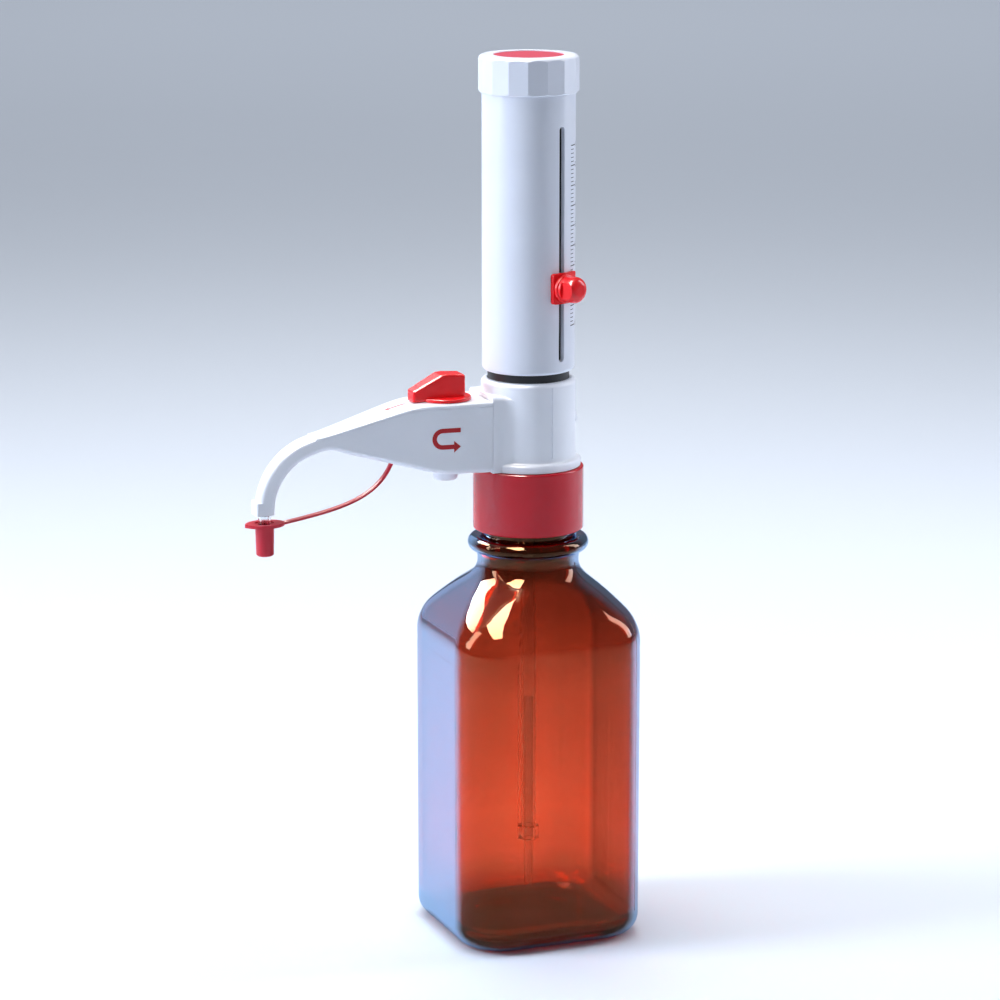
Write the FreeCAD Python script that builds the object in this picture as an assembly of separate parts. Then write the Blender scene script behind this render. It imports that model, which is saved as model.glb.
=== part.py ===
import FreeCAD, Part
import math
import os

# Bottle-top dispenser with a 1 litre square bottle, in millimetres.
# The origin is the centre of the bottle's base, +Z is up and the discharge arm points along -X.
# An azimuth is measured from the front, -Y, towards +X.

Vector = FreeCAD.Vector
UP = Vector(0, 0, 1)

# Clearances and small sizes that all pieces share
slip_fit = 0.05        # radial, shafts and plungers that run in a bore
seat_gap = 0.1         # assembled pieces of one body that only locate each other
free_gap = 0.3         # pieces that pass each other without touching
through = 1.0          # how far a cut runs past the surface that it opens
broken_edge = 0.5      # small radius that the mould leaves on an edge

# Square bottle
bottle_side = 90.6
bottle_corner = 22.9
bottle_wall = 2.8
bottle_floor = 5.0
bottle_heel = 9.0
inside_heel = 8.0
punt_radius = 28.0
punt_depth = 3.0
body_height = 140.5    # up to where the wall starts to lean in
body_overlap = 6.0     # straight wall at the foot of the shoulder's loft
shoulder_tilt = 45.0
shoulder_bend = 24.0   # radius where the wall turns into the shoulder
shoulder_sweep = 11.0  # radius where the shoulder turns up into the neck
neck_radius = 23.3
neck_length = 8.2      # from the shoulder's end to the middle of the bead
throat_rise = 3.0
throat_inset = 0.3
bead_section = 3.5
bead_proud = 1.2
finish_step = 2.0      # the glass under the screw thread is this much slimmer than the neck
finish_wall = 4.3
finish_height = 29.3
finish_edge = 1.5

# Neck seal and screw collar
seal_thickness = 2.0
thread_room = 1.6      # between the glass and the collar's bore
collar_wall = 2.7
collar_edge = 0.8
collar_top_plate = 1.9
collar_foot_gap = 3.3  # over the bead

# Valve block core
flange_inset = 0.4
flange_thickness = 2.8
spigot_inset = 2.7
spigot_height = 8.7
core_radius = 12.5
core_height = 23.7
stem_radius = 8.5
stem_length = 18.5
boss_half_width = 6.5
passage_radius = 1.9
small_passage = 1.1
link_socket = 3.0

# Housing round the valve block
housing_wall = 1.9
housing_slip = 0.07
housing_roof = 2.0
housing_edge = 2.4
housing_over_arm = 7.8
lip_inset = 1.4        # from the collar's outside
lip_height = 3.9
lip_edge = 1.4
lip_sweep = 0.9
shoulder_reach = 1.43  # how far the squared shoulder stands out past the drum
shoulder_over_arm = 2.0
shoulder_blend = 14.0   # swept corner between the drum and the squared shoulder
vent_radius = 2.95
vent_rise = 20.8
vent_proud = 1.5
vent_stalk_inset = 0.6
vent_seat = 1.2
breather_radius = 0.6
groove_azimuth = 8.0
groove_width = 0.9
groove_depth = 0.5
groove_foot = 2.6
groove_inset = 2.1

# Intake valve and its telescopic tube
intake_body_radius = 6.0
intake_seat_rise = 1.0
intake_stop = 5.5      # solid left over the valve body in the stem
intake_flange = 5.0
intake_plain = 1.2     # round part of the flange over its hexagon
intake_grip_across = 15.8
barb_radius = 2.5
barb_length = 9.0
barb_taper = 2.5
barb_slope = 0.5
intake_ball_radius = 2.0
ball_travel = 1.5
ball_room = 0.6
tube_wall = 1.15
tube_foot_wall = 1.35
tube_foot_height = 6.5
tube_foot_edge = 0.8
tube_play = 0.2
outer_tube_clearance = 36.5   # over the bottle's floor
inner_tube_radius = 2.35
inner_tube_bore = 1.5
inner_tube_clearance = 12.0
inner_tube_length = 93.0
tube_slant = 35.0

# Return tube beside the intake
return_spacing = 3.8   # from the stem's side to the tube's middle
return_radius = 2.3
return_length = 56.5
nipple_wall = 0.9
nipple_length = 6.5

# Glass cylinder, its gasket, guide and dark jacket
bore_radius = 5.9
glass_wall = 1.7
glass_length = 131.6
gasket_thickness = 1.4
cylinder_socket = 6.0
jacket_bore = 14.3
jacket_wall = 4.5
jacket_foot = 3.0
jacket_over_glass = 14.0
channel_width = 9.0
channel_depth = 2.9
channel_start = 3.0
guide_height = 8.0
guide_overlap = 2.0
ledge_depth = 2.0
ledge_height = 5.0

# Discharge valve
discharge_spacing = 9.9       # from the glass to the valve's axis
discharge_body_radius = 4.4
discharge_head_radius = 5.2
discharge_head_height = 1.56
discharge_ball_radius = 1.75
discharge_mouth = 1.0
discharge_depth = 8.0
discharge_sump = 1.2   # room under the valve where the cross passage comes in
discharge_socket = 1.2
feed_below_core = 3.0

# Plunger: sleeve, cap and piston
sleeve_play = 0.4
sleeve_wall = 2.15
sleeve_over_housing = 3.7
sleeve_over_jacket = 12.0
sleeve_edge = 1.9
slot_azimuth = 23.0
slot_width = 3.3
slot_over_rim = 5.7
slot_under_top = 16.5
cap_wall = 1.55
cap_roof = 1.5
cap_overlap = 2.5
cap_height = 17.1
cap_facets = 16
cap_edge = 2.2
cap_chamfer = 1.0
disc_inset = 6.75
disc_thickness = 1.0
disc_sunk = 0.3
mount_below_top = 9.0
mount_thickness = 4.0
mount_hole_radius = 3.2
mount_hole_circle = 12.5
mount_holes = 6
rod_radius = 4.0
piston_rest = 7.6      # over the cylinder's foot
piston_length = 16.0
piston_edge = 0.8
seal_width = 1.4
seal_depth = 1.1
seal_inset = 2.6
nut_across = 12.0
nut_height = 4.5

# Volume pointer, which is set at 8 ml
set_volume = 8.0
pointer_width = 15.0
pointer_length = 14.0
pointer_azimuth = 26.5
pointer_play = 0.15
pointer_thickness = 1.7
pointer_corner = 1.2
slide_nut_width = 8.2
slide_nut_length = 12.0
knob_radius = 6.0
knob_length = 10.0
knob_round = 3.6
knob_foot_radius = 6.5
knob_foot_height = 1.6
knob_flat_depth = 1.3
knob_flat_start = 2.8
screw_radius = 1.35

# Discharge arm
arm_wall = 1.8
arm_corner = 2.4
arm_lift = 0.5         # over the housing's foot
arm_over_feed = 15.0
arm_half_width = 15.0
arm_reach = 128.0      # from the bottle's axis to the nozzle
ridge_slope = 38.7     # sloping part of the top, up to the spout's bend
floor_slope = 51.7     # sloping part of the floor
floor_half_width = 14.0
bend_half_width = 7.1
bend_top_rise = 0.4
bend_floor_rise = 0.3
arm_soften = 6.0
arm_steps = 11
spout_bend = 30.3
bend_steps = 6
spout_depth = 7.8
spout_width = 9.3
spout_tail = 1.2
spout_lip_reach = 1.2
spout_lip_height = 6.0
spout_lip_slope = 2.2
spout_lip_edge = 1.2
cover_thickness = 1.8
cover_past_bend = 7.5
cover_tip = 1.2
cover_edge = 1.2
cover_inner_edge = 0.2
cover_overhang = 0.12
cover_droop = 0.8      # the last stretch falls this much of the slope before it
feed_radius = 1.8
feed_bore = 1.1
feed_play = 0.15
return_link_radius = 1.5
return_link_bore = 0.9
return_link_rise = 3.1
nozzle_radius = 2.95
nozzle_bore = 1.7
nozzle_length = 12.5
nozzle_taper = 2.5

# Recirculation valve
valve_spacing = 17.8   # from the shoulder's face
barrel_radius = 8.5
barrel_socket = 1.5
barrel_boss_radius = 5.75
barrel_boss_depth = 4.5
barrel_boss_edge = 1.6
spindle_radius = 4.45
ring_width = 1.2
ring_depth = 0.8
low_ring_rise = 5.0
high_ring_rise = 4.0
lever_flange_radius = 12.0
lever_flange_height = 1.5
lever_gap = 0.3
lever_tip_reach = 16.8
lever_tip_height = 4.9
lever_knee_reach = 3.5
lever_knee_width = 3.0
lever_knee_fall = 0.3
lever_back_reach = 8.3
lever_back_fall = 0.6
lever_height = 12.1
lever_half_width = 5.2
lever_tip_half_width = 4.2
lever_round = 1.3

# Nozzle cap and its strap
cap_over_tip = 8.4
cap_under_tip = 6.7
cap_body_wall = 1.4
cap_body_taper = 0.35
cap_body_edge = 0.6
cap_dish = 0.5
flange_plate = 1.5
leaf_tip_reach = 9.4
leaf_half_width = 6.6
leaf_strap_reach = 9.0
leaf_tip_round = 1.2
strap_width = 3.2
strap_thickness = 1.5
strap_root = 7.4       # past the level part of the arm's top
strap_sunk = 1.4
strap_start_tilt = 21.0
strap_start_pull = 19.0
strap_end_tilt = 8.5
strap_end_pull = 30.0
strap_steps = 12

# Radii that follow from the sizes above
bead_centre = neck_radius + bead_proud
finish_radius = neck_radius - finish_step
mouth_radius = finish_radius - finish_wall
collar_bore = finish_radius + thread_room
collar_radius = collar_bore + collar_wall
flange_radius = collar_bore - flange_inset
spigot_radius = flange_radius - spigot_inset
housing_radius = spigot_radius + housing_slip + housing_wall
lip_radius = collar_radius - lip_inset
glass_radius = bore_radius + glass_wall
jacket_radius = jacket_bore + jacket_wall
channel_radius = jacket_radius - channel_depth
sleeve_bore = jacket_radius + sleeve_play
sleeve_radius = sleeve_bore + sleeve_wall
cap_radius = sleeve_radius + cap_wall
disc_radius = cap_radius - disc_inset
cap_body_radius = nozzle_radius + cap_body_wall
outer_tube_radius = inner_tube_radius + tube_wall

# Places along X that follow from the sizes above
shoulder_face = -housing_radius - shoulder_reach
boss_end = shoulder_face + seat_gap + free_gap
return_offset = -stem_radius - return_spacing
discharge_x = -glass_radius - discharge_spacing
valve_x = shoulder_face - valve_spacing
spout_x = -arm_reach
bend_start = spout_x + spout_bend
ridge_end = bend_start + ridge_slope
floor_end = bend_start + floor_slope
strap_root_x = ridge_end - strap_root

# Heights that follow from the sizes above
tilt = math.radians(shoulder_tilt)
turned_in = (shoulder_bend + shoulder_sweep) * (1 - math.cos(tilt))
shoulder_slope = (bottle_side / 2 - neck_radius - turned_in) / math.tan(tilt)
shoulder_end = body_height + (shoulder_bend + shoulder_sweep) * math.sin(tilt) + shoulder_slope
bead_height = shoulder_end + neck_length
mouth_height = bead_height + finish_height
flange_bottom = mouth_height + seal_thickness
flange_top = flange_bottom + flange_thickness
collar_bottom = bead_height + bead_section + collar_foot_gap
collar_plate_bottom = flange_top + free_gap
collar_top = collar_plate_bottom + collar_top_plate
housing_bottom = collar_top + free_gap
stem_bottom = flange_bottom - stem_length
core_top = flange_top + core_height
tube_height = core_top - feed_below_core
arm_floor = housing_bottom + arm_lift
arm_ridge = tube_height + arm_over_feed
housing_top = arm_ridge + housing_over_arm
shoulder_top = arm_ridge + shoulder_over_arm
return_link_height = arm_floor + arm_wall + return_link_rise
cylinder_seat = core_top - cylinder_socket
glass_bottom = cylinder_seat + gasket_thickness
cylinder_top = glass_bottom + glass_length
jacket_bottom = core_top + discharge_head_height + free_gap
jacket_top = cylinder_top + jacket_over_glass
discharge_bottom = tube_height - discharge_depth
sleeve_bottom = housing_top + sleeve_over_housing
sleeve_top = jacket_top + sleeve_over_jacket
slot_bottom = sleeve_bottom + slot_over_rim
slot_top = sleeve_top - slot_under_top
cap_bottom = sleeve_top - cap_overlap
cap_top = cap_bottom + cap_height
mount_bottom = sleeve_top - mount_below_top
piston_bottom = glass_bottom + piston_rest
ml_travel = 1000 / (math.pi * bore_radius ** 2)
pointer_height = slot_top - set_volume * ml_travel
bend_end = tube_height - spout_bend
spout_end = bend_end - spout_tail
nozzle_tip = spout_end - nozzle_length
cap_flange_top = nozzle_tip + cap_over_tip
cap_body_bottom = nozzle_tip - cap_under_tip


def around(azimuth, radius, height):
    angle = math.radians(azimuth)
    return Vector(radius * math.sin(angle), -radius * math.cos(angle), height)


def rod(radius, low, high, x=0.0, y=0.0):
    return Part.makeCylinder(radius, high - low, Vector(x, y, low))


def tube(outer, inner, low, high, x=0.0):
    return rod(outer, low, high, x).cut(rod(inner, low - through, high + through, x))


def cross_rod(radius, x_from, x_to, height):
    start = Vector(min(x_from, x_to), 0, height)
    return Part.makeCylinder(radius, abs(x_to - x_from), start, Vector(1, 0, 0))


def cross_tube(outer, inner, low, high, height):
    return cross_rod(outer, low, high, height).cut(cross_rod(inner, low - through, high + through, height))


def block(x_low, x_high, y_low, y_high, z_low, z_high):
    return Part.makeBox(x_high - x_low, y_high - y_low, z_high - z_low, Vector(x_low, y_low, z_low))


def turned(points):
    """Solid of revolution about Z from an outline of (radius, height) points."""
    corners = [Vector(radius, 0, height) for radius, height in points]
    outline = Part.makePolygon(corners + corners[:1])
    return Part.Face(outline).revolve(Vector(0, 0, 0), UP, 360)


def moved(shape, x):
    copy = shape.copy()
    copy.translate(Vector(x, 0, 0))
    return copy


def facing(shape, azimuth):
    """Turns a shape made at the front, -Y, round to an azimuth."""
    copy = shape.copy()
    copy.rotate(Vector(0, 0, 0), UP, azimuth)
    return copy


def rims(shape, height, radius=None):
    """Edges that lie flat at a height, and only round ones of a radius if it is given."""
    found = []
    for edge in shape.Edges:
        box = edge.BoundBox
        if abs(box.ZMin - height) > 1e-4 or abs(box.ZMax - height) > 1e-4:
            continue
        if radius is None:
            found.append(edge)
        elif isinstance(edge.Curve, Part.Circle) and abs(edge.Curve.Radius - radius) < 1e-4:
            found.append(edge)
    return found


def rounded(shape, size, height, radius=None):
    return shape.makeFillet(size, rims(shape, height, radius))


def hexagon(across, low, high):
    radius = across / math.sqrt(3)
    step = 2 * math.pi / 6
    points = [Vector(radius * math.cos(i * step), radius * math.sin(i * step), low) for i in range(6)]
    return Part.Face(Part.makePolygon(points + points[:1])).extrude(Vector(0, 0, high - low))


def closed_wire(points, corners):
    """Closed outline through points, each corner rounded by its own radius."""
    count = len(points)
    edges = []
    starts = []
    ends = []
    for index, point in enumerate(points):
        before = (points[index - 1] - point).normalize()
        after = (points[(index + 1) % count] - point).normalize()
        half = before.getAngle(after) / 2
        reach = corners[index] / math.tan(half)
        middle = point + (before + after).normalize() * (corners[index] / math.sin(half) - corners[index])
        starts.append(point + before * reach)
        ends.append(point + after * reach)
        edges.append(Part.Arc(starts[-1], middle, ends[-1]).toShape())
    outline = []
    for index in range(count):
        outline.append(edges[index])
        outline.append(Part.LineSegment(ends[index], starts[(index + 1) % count]).toShape())
    return Part.Wire(outline)


# Bottle


def square_outline(half, corner, height):
    corner = min(corner, half - free_gap)
    points = [Vector(sx * half, sy * half, height) for sx, sy in ((1, 1), (-1, 1), (-1, -1), (1, -1))]
    return closed_wire(points, [corner] * 4)


def square_prism(half, corner, low, high):
    return Part.Face(square_outline(half, corner, low)).extrude(Vector(0, 0, high - low))


def shoulder_profile(inset):
    """Half widths and heights up the shoulder, offset inwards by a wall thickness."""
    half = bottle_side / 2 - inset
    end = neck_radius - inset
    bend = shoulder_bend - inset
    sweep = shoulder_sweep + inset
    places = [(half, body_height - body_overlap)]
    for step in range(5):
        angle = tilt * step / 4
        places.append((half - bend * (1 - math.cos(angle)), body_height + bend * math.sin(angle)))
    for step in range(4, -1, -1):
        angle = tilt * step / 4
        places.append((end + sweep * (1 - math.cos(angle)), shoulder_end - sweep * math.sin(angle)))
    return places


def shoulder(inset, top):
    places = shoulder_profile(inset)
    places.append((places[-1][0], top))
    wires = [square_outline(half, bottle_corner - inset, height) for half, height in places]
    return Part.makeLoft(wires, True, False)


def glass_bottle():
    half = bottle_side / 2
    wall_top = body_height - body_overlap
    body = square_prism(half, bottle_corner, 0, wall_top)
    body = rounded(body, bottle_heel, 0)
    bead = Part.makeTorus(bead_centre, bead_section, Vector(0, 0, bead_height))
    finish = rod(finish_radius, bead_height, mouth_height)
    finish = rounded(finish, finish_edge, mouth_height, finish_radius)
    outside = body.fuse([shoulder(0, bead_height), bead, finish])
    room = square_prism(half - bottle_wall, bottle_corner - bottle_wall, bottle_floor, wall_top)
    room = rounded(room, inside_heel, bottle_floor)
    throat_start = shoulder_end + throat_rise
    throat_radius = neck_radius - bottle_wall - throat_inset
    throat = turned([(0, shoulder_end - through), (throat_radius, shoulder_end - through),
                     (throat_radius, throat_start), (mouth_radius, bead_height + bead_section),
                     (mouth_radius, mouth_height + through), (0, mouth_height + through)])
    inside = room.fuse([shoulder(bottle_wall, throat_start), throat])
    dome = (punt_radius ** 2 + punt_depth ** 2) / (2 * punt_depth)
    punt = Part.makeSphere(dome, Vector(0, 0, punt_depth - dome))
    return outside.cut([inside, punt]).removeSplitter()


# Neck seal and collar


def neck_seal():
    return tube(finish_radius - free_gap, mouth_radius, mouth_height, flange_bottom)


def threaded_collar():
    shell = rod(collar_radius, collar_bottom, collar_top)
    shell = rounded(shell, collar_edge, collar_top, collar_radius)
    shell = rounded(shell, collar_edge, collar_bottom, collar_radius)
    bore = rod(collar_bore, collar_bottom - through, collar_plate_bottom)
    opening = rod(spigot_radius + free_gap, collar_plate_bottom - through, collar_top + through)
    return shell.cut([bore, opening])


# Valve block


def valve_block_core():
    body = rod(flange_radius, flange_bottom, flange_top)
    boss_low = arm_floor + arm_wall + free_gap
    body = body.fuse([
        rod(spigot_radius, flange_top, flange_top + spigot_height),
        rod(core_radius, flange_top + spigot_height, core_top),
        rod(stem_radius, stem_bottom, flange_bottom),
        rod(small_passage + nipple_wall, flange_bottom - nipple_length, flange_bottom, return_offset),
        block(boss_end, 0, -boss_half_width, boss_half_width, boss_low, core_top),
    ])
    holes = [
        rod(intake_body_radius + slip_fit, stem_bottom - through, stem_bottom + stem_length - intake_stop),
        rod(passage_radius, stem_bottom, core_top),
        rod(glass_radius + slip_fit, cylinder_seat, core_top + through),
        rod(discharge_body_radius + slip_fit, discharge_bottom - discharge_sump, core_top + through,
            discharge_x),
        cross_rod(small_passage, discharge_x, 0, discharge_bottom),
        cross_rod(feed_radius + slip_fit, boss_end - through, discharge_x, tube_height),
        cross_rod(small_passage, boss_end, return_offset, return_link_height),
        cross_rod(return_link_radius + slip_fit, boss_end - through, boss_end + link_socket,
                  return_link_height),
        rod(small_passage, flange_bottom - nipple_length - through, return_link_height, return_offset),
    ]
    return body.cut(holes).removeSplitter()


def housing_shoulder(inset, low):
    """Squared shoulder that the arm butts against."""
    half = arm_half_width - inset
    shape = block(shoulder_face, 0, -half, half, low, shoulder_top - inset)
    long_edges = [edge for edge in shape.Edges
                  if abs(edge.BoundBox.XLength - abs(shoulder_face)) < 1e-3
                  and edge.BoundBox.ZMin > low + through]
    return shape.makeFillet(max(arm_corner - inset, broken_edge), long_edges)


def shoulder_outline():
    """Plan of the drum and its squared shoulder, with the corners between them swept round."""
    half = arm_half_width
    hub = Vector(-math.sqrt((housing_radius + shoulder_blend) ** 2 - (half + shoulder_blend) ** 2),
                 half + shoulder_blend, 0)
    inward = (hub * -1).normalize()
    meet = hub + inward * shoulder_blend
    middle = hub + (inward + Vector(0, -1, 0)).normalize() * shoulder_blend
    run = [Vector(shoulder_face, half, 0), Vector(hub.x, half, 0), middle, meet]
    far = [Vector(place.x, -place.y, 0) for place in run]
    edges = [Part.LineSegment(far[0], far[1]), Part.Arc(far[1], far[2], far[3]),
             Part.Arc(far[3], Vector(housing_radius, 0, 0), run[3]), Part.Arc(run[3], run[2], run[1]),
             Part.LineSegment(run[1], run[0]), Part.LineSegment(run[0], far[0])]
    return Part.Wire([edge.toShape() for edge in edges])


def housing_outside():
    drum = rod(housing_radius, housing_bottom, housing_top)
    drum = rounded(drum, housing_edge, housing_top, housing_radius)
    blend = Part.Face(shoulder_outline()).extrude(Vector(0, 0, shoulder_top - housing_bottom))
    blend.translate(Vector(0, 0, housing_bottom))
    top_edges = [edge for edge in rims(blend, shoulder_top) if edge.BoundBox.XLength > seat_gap]
    return drum.fuse(blend.makeFillet(arm_corner, top_edges)).removeSplitter()


def housing_lip():
    """Flared foot of the drum."""
    top = housing_bottom + lip_height
    lip = rounded(rod(lip_radius, housing_bottom, top), lip_edge, top, lip_radius)
    lip = lip.fuse(rod(housing_radius, housing_bottom, top + 2 * lip_sweep))
    return rounded(lip, lip_sweep, top, housing_radius)


def valve_block_housing():
    beyond = block(-2 * lip_radius, shoulder_face, -lip_radius, lip_radius,
                   housing_bottom - through, housing_top)
    outside = housing_outside().fuse(housing_lip()).cut(beyond)
    inner = housing_radius - housing_wall
    hollow = rod(inner, housing_bottom - through, housing_top - housing_roof)
    neck = rod(jacket_radius + 2 * seat_gap, housing_top - housing_roof - through, housing_top + through)
    hollow = hollow.fuse([neck, housing_shoulder(housing_wall, arm_floor + arm_wall)])
    vent = cross_rod(vent_radius - vent_stalk_inset, 0, 2 * housing_radius, housing_bottom + vent_rise)
    body = outside.cut([hollow, vent])
    low = housing_bottom + lip_height + groove_inset
    front = -housing_radius - through
    back = -housing_radius + groove_depth
    groove = block(-groove_width / 2, groove_width / 2, front, back, low, housing_top - groove_inset)
    foot = block(-groove_foot, groove_width / 2, front, back, low, low + groove_width)
    return body.cut(facing(groove.fuse(foot), groove_azimuth)).removeSplitter()


def vent_plug():
    height = housing_bottom + vent_rise
    face = housing_radius + vent_proud
    button = cross_rod(vent_radius, housing_radius, face, height)
    rim = [edge for edge in button.Edges
           if abs(edge.BoundBox.XMin - face) < 1e-4 and edge.BoundBox.XLength < 1e-4]
    button = button.makeFillet(broken_edge, rim)
    seat = cross_rod(vent_radius, housing_radius - vent_seat, housing_radius, height)
    seat = seat.cut(rod(housing_radius, height - 2 * vent_radius, height + 2 * vent_radius))
    inner = housing_radius - housing_wall - through
    stalk = cross_rod(vent_radius - vent_stalk_inset - slip_fit, inner, housing_radius, height)
    breather = cross_rod(breather_radius, 0, face + through, height)
    return button.fuse([seat, stalk]).cut(breather)


# Intake valve and tubes


def ball_rest(ball_radius, cone_start, mouth):
    """Height of a ball's centre just clear of its 45 degree seat."""
    return cone_start - mouth + (ball_radius + seat_gap) * math.sqrt(2)


def ball_chamber(ball_radius, seat, mouth, low, high):
    """Waterway along Z with the room and the 45 degree seat of a ball valve."""
    chamber = ball_radius + ball_room
    chamber_top = ball_rest(ball_radius, seat, mouth) + ball_radius + ball_travel + free_gap
    return turned([(0, low), (mouth, low), (mouth, seat), (chamber, seat + chamber - mouth),
                   (chamber, chamber_top), (mouth, chamber_top), (mouth, high), (0, high)])


def intake_seat_height():
    return stem_bottom + intake_seat_rise


def filling_valve_body():
    top = stem_bottom + stem_length - intake_stop
    flange_low = stem_bottom - intake_flange
    plain_low = stem_bottom - intake_plain
    barb_end = flange_low - barb_length
    barb = turned([(0, barb_end), (barb_radius - barb_slope, barb_end), (barb_radius, barb_end + barb_taper),
                   (barb_radius, flange_low), (0, flange_low)])
    outside = barb.fuse([hexagon(intake_grip_across, flange_low, plain_low),
                         rod(stem_radius, plain_low, stem_bottom),
                         rod(intake_body_radius, stem_bottom, top)])
    ways = ball_chamber(intake_ball_radius, intake_seat_height(), small_passage,
                        barb_end - through, top + through)
    return outside.cut(ways)


def intake_ball():
    height = ball_rest(intake_ball_radius, intake_seat_height(), small_passage)
    return Part.makeSphere(intake_ball_radius, Vector(0, 0, height))


def suction_tube_outer():
    low = bottle_floor + outer_tube_clearance
    high = stem_bottom - intake_flange
    foot_top = low + tube_foot_height
    foot_radius = outer_tube_radius + tube_foot_wall
    foot = rounded(rod(foot_radius, low, foot_top), tube_foot_edge, foot_top, foot_radius)
    bore = rod(inner_tube_radius + tube_play, low - through, high + through)
    return rod(outer_tube_radius, low, high).fuse(foot).cut(bore).removeSplitter()


def slanted_end(radius, low, x, slant):
    """Wedge under a slanted cut across a tube's lower end."""
    reach = 3 * radius
    wedge = block(-reach, reach, -reach, reach, -reach, 0)
    wedge.rotate(Vector(0, 0, 0), Vector(0, 1, 0), slant)
    wedge.translate(Vector(x, 0, low + radius * math.tan(math.radians(abs(slant)))))
    return wedge


def suction_tube_inner():
    low = bottle_floor + inner_tube_clearance
    pipe = tube(inner_tube_radius, inner_tube_bore, low, low + inner_tube_length)
    return pipe.cut(slanted_end(inner_tube_radius, low, 0, tube_slant))


def recirculation_tube():
    low = flange_bottom - return_length
    pipe = tube(return_radius, small_passage + nipple_wall, low, flange_bottom, return_offset)
    return pipe.cut(slanted_end(return_radius, low, return_offset, -tube_slant))


# Cylinder and jacket


def cylinder_gasket():
    return tube(glass_radius, bore_radius, cylinder_seat, glass_bottom)


def glass_cylinder():
    return tube(glass_radius, bore_radius, glass_bottom, cylinder_top)


def cylinder_guide():
    low = cylinder_top - guide_overlap
    ring = tube(jacket_bore - seat_gap, rod_radius + slip_fit, low, low + guide_height)
    return ring.cut(rod(glass_radius + slip_fit, low - through, cylinder_top))


def guide_ledge():
    """Inner step that carries the cylinder's guide ring."""
    top = cylinder_top - guide_overlap
    outer = jacket_bore + broken_edge
    inner = jacket_bore - ledge_depth
    return turned([(outer, top - ledge_height), (inner, top - ledge_depth), (inner, top), (outer, top)])


def cylinder_jacket():
    shell = tube(jacket_radius, jacket_bore, jacket_bottom, jacket_top)
    foot = tube(jacket_radius, glass_radius + seat_gap, jacket_bottom, jacket_bottom + jacket_foot)
    pads = tube(core_radius, glass_radius + seat_gap, core_top, jacket_bottom)
    valve_side = discharge_x + discharge_head_radius + free_gap
    pads = pads.cut(block(-2 * core_radius, valve_side, -core_radius, core_radius, core_top, jacket_bottom))
    half = channel_width / 2
    channel = block(-half, half, -jacket_radius - through, -channel_radius, sleeve_bottom + channel_start,
                    jacket_top + through)
    return shell.fuse([foot, pads, guide_ledge()]).cut(facing(channel, slot_azimuth)).removeSplitter()


# Discharge valve


def discharge_seat_height():
    return discharge_bottom + intake_seat_rise


def discharge_valve_body():
    head_top = core_top + discharge_head_height
    outside = rod(discharge_body_radius, discharge_bottom, core_top).fuse(
        rod(discharge_head_radius, core_top, head_top))
    port_end = discharge_socket - discharge_body_radius
    ways = [
        ball_chamber(discharge_ball_radius, discharge_seat_height(), discharge_mouth,
                     discharge_bottom - through, tube_height),
        cross_rod(discharge_mouth, -discharge_body_radius - through, 0, tube_height),
        cross_rod(feed_radius + slip_fit, -discharge_body_radius - through, port_end, tube_height),
    ]
    return moved(outside.cut(ways), discharge_x)


def discharge_ball():
    height = ball_rest(discharge_ball_radius, discharge_seat_height(), discharge_mouth)
    return Part.makeSphere(discharge_ball_radius, Vector(discharge_x, 0, height))


# Arm


def arm_top_line():
    return [(shoulder_face, arm_ridge), (ridge_end, arm_ridge),
            (bend_start, tube_height + spout_depth / 2 + bend_top_rise)]


def arm_floor_line():
    return [(shoulder_face, arm_floor), (floor_end, arm_floor),
            (bend_start, tube_height - spout_depth / 2 + bend_floor_rise)]


def arm_side_line():
    return [(shoulder_face, arm_half_width), (floor_end, floor_half_width), (bend_start, bend_half_width)]


def along(x, places):
    """Value at x on straight runs between places, which go from the block outwards."""
    for (x_near, near), (x_far, far) in zip(places, places[1:]):
        if x >= x_far or (x_far, far) == places[-1]:
            return near + (far - near) * (x - x_near) / (x_far - x_near)


def softened(x, places):
    """As along, with each corner turned over a few millimetres."""
    reach = [arm_soften * step / 2 for step in range(-2, 3)]
    return sum(along(x + offset, places) for offset in reach) / len(reach)


def arm_sections():
    """Cross sections along the straight part of the arm, from the block to the bend."""
    start = shoulder_face - seat_gap
    sections = []
    for step in range(arm_steps):
        x = start + (bend_start - start) * step / (arm_steps - 1)
        sections.append({"x": x, "top": softened(x, arm_top_line()), "floor": softened(x, arm_floor_line()),
                         "width": 2 * softened(x, arm_side_line())})
    return sections


def section_wire(centre, up, height, width, top_corner, low_corner):
    """Rounded rectangle across the arm, from a centre and the direction of its top."""
    side = Vector(0, 1, 0)
    points = [centre + up * (sz * height / 2) + side * (sy * width / 2)
              for sy, sz in ((1, 1), (-1, 1), (-1, -1), (1, -1))]
    return closed_wire(points, [top_corner, top_corner, low_corner, low_corner])


def bend_wire(angle, drop, width, corner):
    """Section in the spout's bend, turned down by an angle, its top lowered by drop."""
    turn = math.radians(angle)
    hub = Vector(bend_start, 0, bend_end)
    up = Vector(-math.sin(turn), 0, math.cos(turn))
    centre = hub + up * (spout_bend - drop / 2)
    return section_wire(centre, up, spout_depth - drop, width, corner, arm_corner)


def cover_depth(x):
    """Thickness of the top cover, which thins towards its end."""
    share = (shoulder_face - x) / (shoulder_face - bend_start + cover_past_bend)
    return cover_thickness + (cover_tip - cover_thickness) * share


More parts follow.
